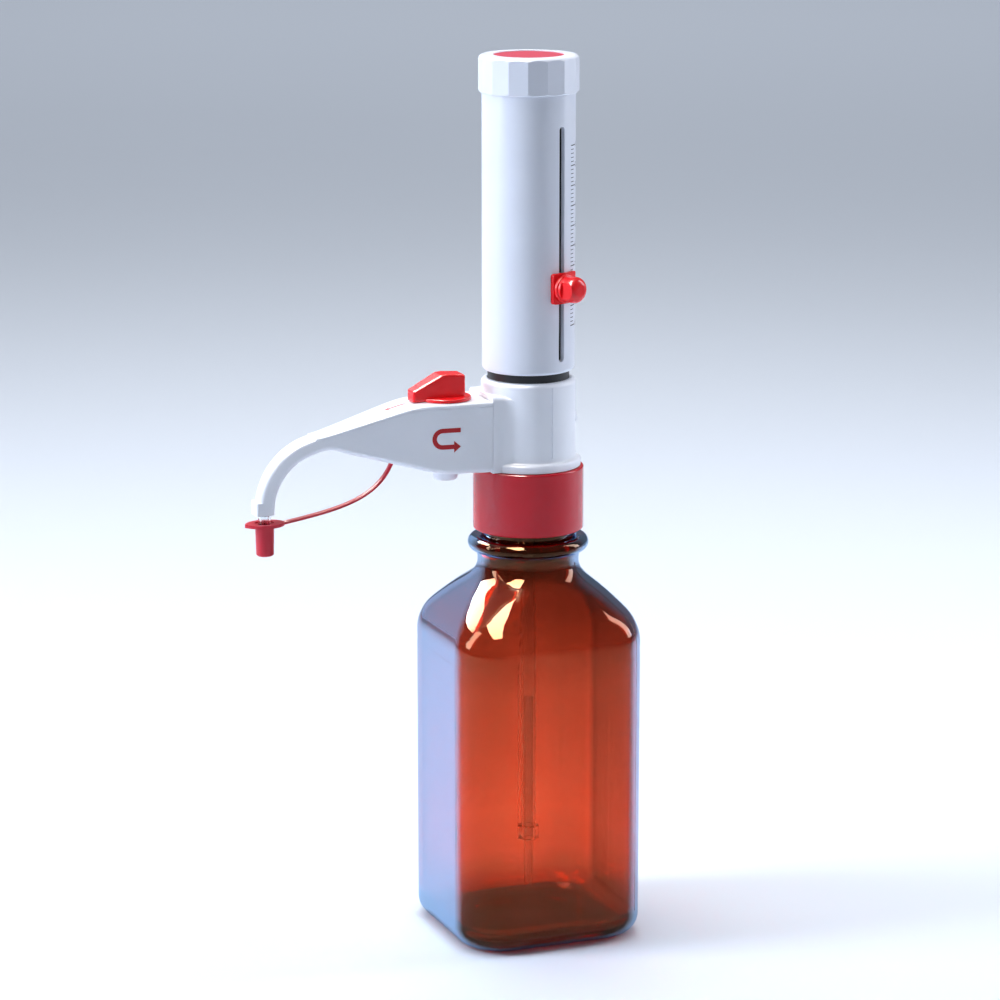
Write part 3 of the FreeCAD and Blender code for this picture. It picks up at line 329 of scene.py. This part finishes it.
def thread_ridge():
    """The thread's points and faces, with both of its ends run out towards the neck."""
    steps = int(thread_turns * steps_per_turn)
    run_out = thread_run_out_turns * steps_per_turn
    points = []
    for step in range(steps + 1):
        angle = 2 * math.pi * step / steps_per_turn
        middle = thread_start + thread_pitch * step / steps_per_turn
        rise = max(min(1.0, step / run_out, (steps - step) / run_out), thread_least_rise)
        crest = thread_root + (thread_crest - thread_root) * rise
        outline = ((thread_root, -thread_root_width / 2), (crest, -thread_crest_width / 2),
                   (crest, thread_crest_width / 2), (thread_root, thread_root_width / 2))
        points.extend((radius * math.cos(angle), radius * math.sin(angle), middle + offset)
                      for radius, offset in outline)
    return points, ring_faces(steps + 1, len(outline))


points, faces = thread_ridge()
piece("neck_thread", points, faces, amber, "bottle")

# Mould seams, where the two halves of the blow mould met: a low ridge up two opposite corners.
seam_width = 0.7 * MM
seam_height = 0.16 * MM
seam_edge_height = 0.02 * MM
seam_low = 12.0 * MM
seam_high = 177.0 * MM
seam_steps = 110
outside_bottle = 100 * MM


def surface_of(*nodes):
    """Search trees of CAD nodes' surfaces."""
    trees = []
    for node in nodes:
        mesh = cad[node].data
        corners = [vertex.co for vertex in mesh.vertices]
        trees.append(BVHTree.FromPolygons(corners, [polygon.vertices for polygon in mesh.polygons]))
    return trees


def press_on(points, direction, trees, lift):
    """Moves points along a direction to just above the surface that they meet."""
    pressed = []
    for point in points:
        hits = [tree.ray_cast(Vector(point), direction) for tree in trees]
        nearest = min((hit for hit in hits if hit[0] is not None), key=lambda hit: hit[3])
        pressed.append(nearest[0] - direction * lift)
    return pressed


bottle_surface = surface_of("glass_bottle")
seam_outline = ((-seam_width / 2, seam_edge_height), (0, seam_height), (seam_width / 2, seam_edge_height))
seam_faces = ring_faces(seam_steps + 1, len(seam_outline))
for corner_name, corner_azimuth in (("front", 45), ("back", 225)):
    angle = math.radians(corner_azimuth)
    outward = Vector((math.sin(angle), -math.cos(angle), 0))
    sideways = Vector((math.cos(angle), math.sin(angle), 0))
    points = []
    for step in range(seam_steps + 1):
        height = seam_low + (seam_high - seam_low) * step / seam_steps
        for across, lift in seam_outline:
            outside = outward * outside_bottle + sideways * across + Vector((0, 0, height))
            points.extend(press_on([outside], -outward, bottle_surface, lift))
    piece("mould_seam_" + corner_name, points, seam_faces, amber, "bottle")


# Screw collar and neck seal
# The collar is injection moulded in dark red polypropylene and clamps the valve block on the
# bottle's mouth. The mould's polish leaves it a satin skin with soft flow lines. The seal is a
# turned ring of white fluoropolymer, dull and waxy.
flow_length = 22 * MM
glow_depth = 1.5 * MM


def even_finish(name, hex_colour, roughness, glow=0.0, grain=0.3 * MM, relief=0.012 * MM, ior=1.49):
    """A moulded or turned surface of one colour, with slow changes in its gloss. The grain of its
    skin is drawn coarser than real, so that it shows."""
    finish = new_material(name)
    place = add_node(finish, "ShaderNodeTexCoord")
    skin = add_node(finish, "ShaderNodeTexNoise", {
        "Vector": place.outputs["Object"], "Scale": 1 / grain, "Detail": 2.0})
    flow = add_node(finish, "ShaderNodeTexNoise", {
        "Vector": place.outputs["Object"], "Scale": 1 / flow_length, "Detail": 2.0, "Distortion": 0.6})
    gloss = add_node(finish, "ShaderNodeMapRange", {
        "Value": flow.outputs["Fac"], "From Min": 0.3, "From Max": 0.7,
        "To Min": roughness - 0.015, "To Max": roughness + 0.02})
    tone = add_node(finish, "ShaderNodeMapRange", {
        "Value": flow.outputs["Fac"], "From Min": 0.3, "From Max": 0.7, "To Min": 0.99, "To Max": 1.01})
    shade = add_node(finish, "ShaderNodeHueSaturation", {
        "Color": linear(hex_colour), "Value": tone.outputs[0]})
    texture = add_node(finish, "ShaderNodeBump", {
        "Height": skin.outputs["Fac"], "Strength": 0.3, "Distance": relief})
    shader = add_node(finish, "ShaderNodeBsdfPrincipled", {
        "Base Color": shade.outputs[0], "Roughness": gloss.outputs[0], "IOR": ior,
        "Subsurface Weight": glow, "Subsurface Radius": (1.0, 0.9, 0.85), "Subsurface Scale": glow_depth,
        "Normal": texture.outputs["Normal"]})
    return finish_with(finish, shader)


dress("threaded_collar", even_finish("dark_red_polypropylene", "#C20A20", 0.16))
turned_fluoropolymer = even_finish("turned_fluoropolymer", "#ECEBE6", 0.50, glow=0.1, ior=1.36)
dress("neck_seal", turned_fluoropolymer)


# Valve block
# The core with its passages is turned from fluoropolymer. The housing over it and the vent plug
# are white polypropylene with a slight blue cast, moulded and slightly translucent.
cool_polypropylene = even_finish("cool_white_polypropylene", "#EDF0F8", 0.34, glow=0.15)
dress("valve_block_core", turned_fluoropolymer)
dress("valve_block_housing", cool_polypropylene)
dress("vent_plug", cool_polypropylene)


# Filling valve and dip tubes
# A fluoropolymer valve with a polished ceramic ball, and clear fluoropolymer tubes pushed on its
# barb. The tubes are extruded, so their skin is a little cloudy with faint lines along them.
draw_line_width = 0.5 * MM
draw_line_length = 40 * MM
draw_line_depth = 0.03 * MM


def clear_tube():
    """Extruded clear fluoropolymer, with faint lines from the die, drawn wider than real to show."""
    tube = new_material("extruded_clear_fluoropolymer")
    place = add_node(tube, "ShaderNodeTexCoord")
    stretched = add_node(tube, "ShaderNodeMapping", {
        "Vector": place.outputs["Object"],
        "Scale": (1 / draw_line_width, 1 / draw_line_width, 1 / draw_line_length)})
    lines = add_node(tube, "ShaderNodeTexNoise", {"Vector": stretched.outputs["Vector"], "Scale": 1.0})
    drawn = add_node(tube, "ShaderNodeBump", {
        "Height": lines.outputs["Fac"], "Strength": 0.2, "Distance": draw_line_depth})
    shader = add_node(tube, "ShaderNodeBsdfPrincipled", {
        "Base Color": linear("#F6FAFC"), "Roughness": 0.14, "IOR": 1.34, "Transmission Weight": 1.0,
        "Normal": drawn.outputs["Normal"]})
    return finish_with(tube, shader)


clear_fluoropolymer = clear_tube()
polished_ceramic = even_finish("polished_ceramic", "#F2F0EA", 0.08, grain=0.1 * MM, relief=0.001 * MM,
                               ior=1.76)
dress("filling_valve_body", turned_fluoropolymer)
dress("intake_ball", polished_ceramic)
for node in ("suction_tube_outer", "suction_tube_inner", "recirculation_tube"):
    dress(node, clear_fluoropolymer)


# Glass cylinder and its jacket
# The measuring cylinder is drawn borosilicate glass on a flat gasket. The dark jacket that guards
# it is what shows as black in the sleeve's slot and as a ring under the sleeve.
cylinder_wave = 12 * MM
cylinder_wave_depth = 0.05 * MM


def clear_glass():
    """Drawn clear glass, almost free of waves."""
    glass = new_material("drawn_borosilicate_glass")
    place = add_node(glass, "ShaderNodeTexCoord")
    waves = add_node(glass, "ShaderNodeTexNoise", {
        "Vector": place.outputs["Object"], "Scale": 1 / cylinder_wave})
    drawn = add_node(glass, "ShaderNodeBump", {
        "Height": waves.outputs["Fac"], "Strength": 0.1, "Distance": cylinder_wave_depth})
    shader = add_node(glass, "ShaderNodeBsdfPrincipled", {
        "Base Color": linear("#F6FBFA"), "Roughness": 0.01, "IOR": 1.47, "Transmission Weight": 1.0,
        "Normal": drawn.outputs["Normal"]})
    return finish_with(glass, shader)


dress("glass_cylinder", clear_glass())
dress("cylinder_gasket", turned_fluoropolymer)
dress("cylinder_guide", turned_fluoropolymer)
dress("cylinder_jacket", even_finish("black_polypropylene", "#17181B", 0.38))


# Discharge valve and feed lines
# Sealed in the block and the arm: a second ball valve, and short clear tubes to and from the
# recirculation valve. The nozzle at the arm's end is the same clear tube.
dress("discharge_valve_body", turned_fluoropolymer)
dress("discharge_ball", polished_ceramic)
for node in ("feed_link", "return_link", "discharge_tube", "outlet_nozzle"):
    dress(node, clear_fluoropolymer)


# Discharge arm
# The long arm is moulded in two parts of the same cool white polypropylene as the housing, with a
# cover snapped on along the top.
dress("arm_housing", cool_polypropylene)
dress("arm_top_cover", cool_polypropylene)

# Flow marks, pad printed in matt red ink: a return arrow on the arm's near side and a straight
# arrow on its top, ahead of the lever.
print_lift = 0.03 * MM
print_dot = 0.4 * MM
return_stroke = 2.1 * MM
return_tip_x = -38.7 * MM
return_left_x = -51.0 * MM
return_top_z = 243.2 * MM
return_low_z = 235.6 * MM
return_head_length = 3.2 * MM
return_head_width = 5.4 * MM
straight_stroke = 1.2 * MM
straight_start_x = -60.4 * MM
straight_tip_x = -70.6 * MM
straight_head_length = 2.4 * MM
straight_head_width = 3.2 * MM
straight_head_overlap = 0.2 * MM
line_steps = 6
turn_steps = 16
head_steps = 4
head_tip_half_width = 0.02 * MM
beside_arm_y = -50 * MM
above_arm_z = 300 * MM


def printing_ink(name, hex_colour):
    """Pad printing ink: matt, with an uneven cover whose dots are drawn coarser than real to show."""
    ink = new_material(name)
    place = add_node(ink, "ShaderNodeTexCoord")
    dots = add_node(ink, "ShaderNodeTexNoise", {"Vector": place.outputs["Object"], "Scale": 1 / print_dot})
    cover = add_node(ink, "ShaderNodeMapRange", {
        "Value": dots.outputs["Fac"], "To Min": 0.9, "To Max": 1.08})
    shade = add_node(ink, "ShaderNodeHueSaturation", {
        "Color": linear(hex_colour), "Value": cover.outputs[0]})
    shader = add_node(ink, "ShaderNodeBsdfPrincipled", {
        "Base Color": shade.outputs[0], "Roughness": 0.6, "IOR": 1.35})
    return finish_with(ink, shader)


def strip_faces(first, count):
    """Quads between pairs of points that follow each other."""
    return [(first + 2 * i, first + 2 * i + 1, first + 2 * i + 3, first + 2 * i + 2) for i in range(count)]


def ribbon(path, width):
    """Quads along a flat path of (a, b) points, as points and faces."""
    points = []
    for index, (a, b) in enumerate(path):
        before = path[max(index - 1, 0)]
        after = path[min(index + 1, len(path) - 1)]
        run = math.hypot(after[0] - before[0], after[1] - before[1])
        across = (-(after[1] - before[1]) / run * width / 2, (after[0] - before[0]) / run * width / 2)
        points.append((a + across[0], b + across[1]))
        points.append((a - across[0], b - across[1]))
    return points, strip_faces(0, len(path) - 1)


def arrow_head(tip, length, width, points, faces):
    """Adds a triangle that points along +a, as a strip of quads that ends in a narrow tip."""
    first = len(points)
    for step in range(head_steps + 1):
        share = step / head_steps
        along = tip[0] - length + length * share
        half = width / 2 * (1 - share) + head_tip_half_width
        points.append((along, tip[1] + half))
        points.append((along, tip[1] - half))
    faces.extend(strip_faces(first, head_steps))


red_ink = printing_ink("red_pad_print", "#B81E26")
arm_surface = surface_of("arm_housing", "arm_top_cover")

turn_radius = (return_top_z - return_low_z) / 2
turn_x = return_left_x + turn_radius
turn_z = (return_top_z + return_low_z) / 2
low_run = return_tip_x - return_head_length - turn_x
path = [(return_tip_x + (turn_x - return_tip_x) * i / line_steps, return_top_z) for i in range(line_steps)]
path += [(turn_x - turn_radius * math.sin(math.pi * i / turn_steps),
          turn_z + turn_radius * math.cos(math.pi * i / turn_steps)) for i in range(turn_steps + 1)]
path += [(turn_x + low_run * i / line_steps, return_low_z) for i in range(1, line_steps + 1)]
flat, faces = ribbon(path, return_stroke)
arrow_head((return_tip_x, return_low_z), return_head_length, return_head_width, flat, faces)
on_side = press_on([(x, beside_arm_y, z) for x, z in flat], Vector((0, 1, 0)), arm_surface, print_lift)
piece("return_flow_mark", on_side, faces, red_ink, "valve_block")

straight_run = straight_start_x - straight_tip_x - straight_head_length + straight_head_overlap
path = [(straight_run * i / line_steps - straight_start_x, 0.0) for i in range(line_steps + 1)]
flat, faces = ribbon(path, straight_stroke)
arrow_head((-straight_tip_x, 0.0), straight_head_length, straight_head_width, flat, faces)
on_top = press_on([(-a, b, above_arm_z) for a, b in flat], Vector((0, 0, -1)), arm_surface, print_lift)
piece("discharge_flow_mark", on_top, faces, red_ink, "valve_block")


# Recirculation valve
# The barrel is part of the arm's white polypropylene, the spindle is fluoropolymer with two black
# sealing rings, and the lever is bright red ABS with a glossy moulded skin.
control_red = even_finish("bright_red_abs", "#EE0814", 0.24, grain=0.6 * MM, relief=0.006 * MM, ior=1.54)
dress("recirculation_valve_barrel", cool_polypropylene)
dress("valve_spindle", turned_fluoropolymer)
dress("spindle_seals", even_finish("black_sealing_rubber", "#1A1A1C", 0.6, relief=0.02 * MM, ior=1.52))
dress("valve_lever", control_red)


# Nozzle cap and strap
# One moulding in soft red polyethylene: a cap over the nozzle, and a band that ties it to the
# underside of the arm. Its skin is duller than the lever's.
strap_width = 3.2 * MM
strap_thickness = 1.5 * MM
strap_edge_steps = 4
strap_rings = 41
strap_root = Vector((-66.4, 0, 229.2)) * MM
strap_end = Vector((-119.1, 0, 203.7)) * MM
strap_pulls = [Vector((-73.2, 0, 211.5)) * MM, Vector((-90.3, 0, 208.1)) * MM]


def band(path, width, thickness):
    """A moulded band with rounded edges that stands across the X-Z plane, as rings of points."""
    flat_half = width / 2 - thickness / 2
    outline = []
    for side in (1, -1):
        for step in range(strap_edge_steps + 1):
            turn = math.pi * step / strap_edge_steps
            outward = side * (flat_half + thickness / 2 * math.sin(turn))
            outline.append((outward, side * thickness / 2 * math.cos(turn)))
    points = []
    for index, place in enumerate(path):
        run = (path[min(index + 1, len(path) - 1)] - path[max(index - 1, 0)]).normalized()
        across = Vector((-run.z, 0, run.x))
        points.extend(place + Vector((0, outward, 0)) + across * up for outward, up in outline)
    return points, ring_faces(len(path), len(outline))


strap_red = even_finish("soft_red_polyethylene", "#C4142E", 0.32, glow=0.1, grain=0.5 * MM, ior=1.51)
dress("nozzle_cap", strap_red)
strap_path = interpolate_bezier(strap_root, *strap_pulls, strap_end, strap_rings)
points, faces = band(strap_path, strap_width, strap_thickness)
moulded_strap = piece("moulded_strap", points, faces, strap_red, None)
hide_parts("tether_strap")
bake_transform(moulded_strap)


# Plunger
# The sleeve and its faceted cap are moulded in bright white polypropylene, with a softer disc
# pressed in the cap. Under them the piston's mount, rod and head hang in the glass cylinder.
white_polypropylene = even_finish("white_polypropylene", "#E0E4EE", 0.30, glow=0.15)
for node in ("sleeve", "top_cap", "piston_mount", "calibration_nut"):
    dress(node, white_polypropylene)
dress("cap_disc", even_finish("raspberry_polyethylene", "#B80A3C", 0.5, grain=0.5 * MM, ior=1.33))
for node in ("piston_rod", "piston_head", "piston_seals"):
    dress(node, turned_fluoropolymer)

# Volume scale, printed on the sleeve beside the slot: a tick every 0.2 ml and a number every ml.
# Azimuths are degrees round from the front, -Y, towards +X.
scale_zero_z = 379.5 * MM
ml_height = 9.145 * MM
first_ml = 1
last_ml = 10
ticks_per_ml = 5
tick_azimuth = 41.6
tick_short_azimuth = 50.0
tick_long_azimuth = 55.6
tick_half_height = 0.16 * MM
tick_ml_half_height = 0.22 * MM
tick_columns = 8
number_azimuth = 57.5
number_size = 3.4 * MM
sleeve_low, sleeve_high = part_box("sleeve")
sleeve_radius = (sleeve_high.x - sleeve_low.x) / 2


def on_sleeve(azimuth, height):
    """A point of the print on the sleeve."""
    angle = math.radians(azimuth)
    radius = sleeve_radius + print_lift
    return (radius * math.sin(angle), -radius * math.cos(angle), height)


def printed_number(text, height):
    """Upright numerals, bent round the sleeve."""
    curve = bpy.data.curves.new("number_" + text, "FONT")
    curve.body = text
    curve.size = number_size
    curve.align_x = "LEFT"
    curve.align_y = "CENTER"
    holder = bpy.data.objects.new("number_" + text, curve)
    bpy.context.scene.collection.objects.link(holder)
    bpy.context.view_layer.update()
    mesh = bpy.data.meshes.new_from_object(holder)
    bpy.data.objects.remove(holder)
    bent = [on_sleeve(number_azimuth + math.degrees(vertex.co.x / sleeve_radius), height + vertex.co.y)
            for vertex in mesh.vertices]
    return bent, [tuple(polygon.vertices) for polygon in mesh.polygons]


black_ink = printing_ink("black_pad_print", "#26262A")
points = []
faces = []
for tick in range(first_ml * ticks_per_ml, last_ml * ticks_per_ml + 1):
    height = scale_zero_z - ml_height * tick / ticks_per_ml
    whole_ml = tick % ticks_per_ml == 0
    end = tick_long_azimuth if whole_ml else tick_short_azimuth
    half = tick_ml_half_height if whole_ml else tick_half_height
    faces.extend(strip_faces(len(points), tick_columns))
    for column in range(tick_columns + 1):
        azimuth = tick_azimuth + (end - tick_azimuth) * column / tick_columns
        points.append(on_sleeve(azimuth, height + half))
        points.append(on_sleeve(azimuth, height - half))
piece("scale_ticks", points, faces, black_ink, "plunger")

points = []
faces = []
for volume in range(first_ml, last_ml + 1):
    bent, polygons = printed_number(str(volume), scale_zero_z - ml_height * volume)
    faces.extend(tuple(len(points) + i for i in polygon) for polygon in polygons)
    points.extend(bent)
piece("scale_numbers", points, faces, black_ink, "plunger", smooth=False)


# Volume pointer and thumb screw
# A bright red plate slides on the sleeve, and its red thumb screw goes through the slot into a
# white nut behind it. Both have the lever's glossy moulded skin.
dress("pointer_plate", control_red)
dress("pointer_nut", white_polypropylene)
dress("thumb_screw", control_red)
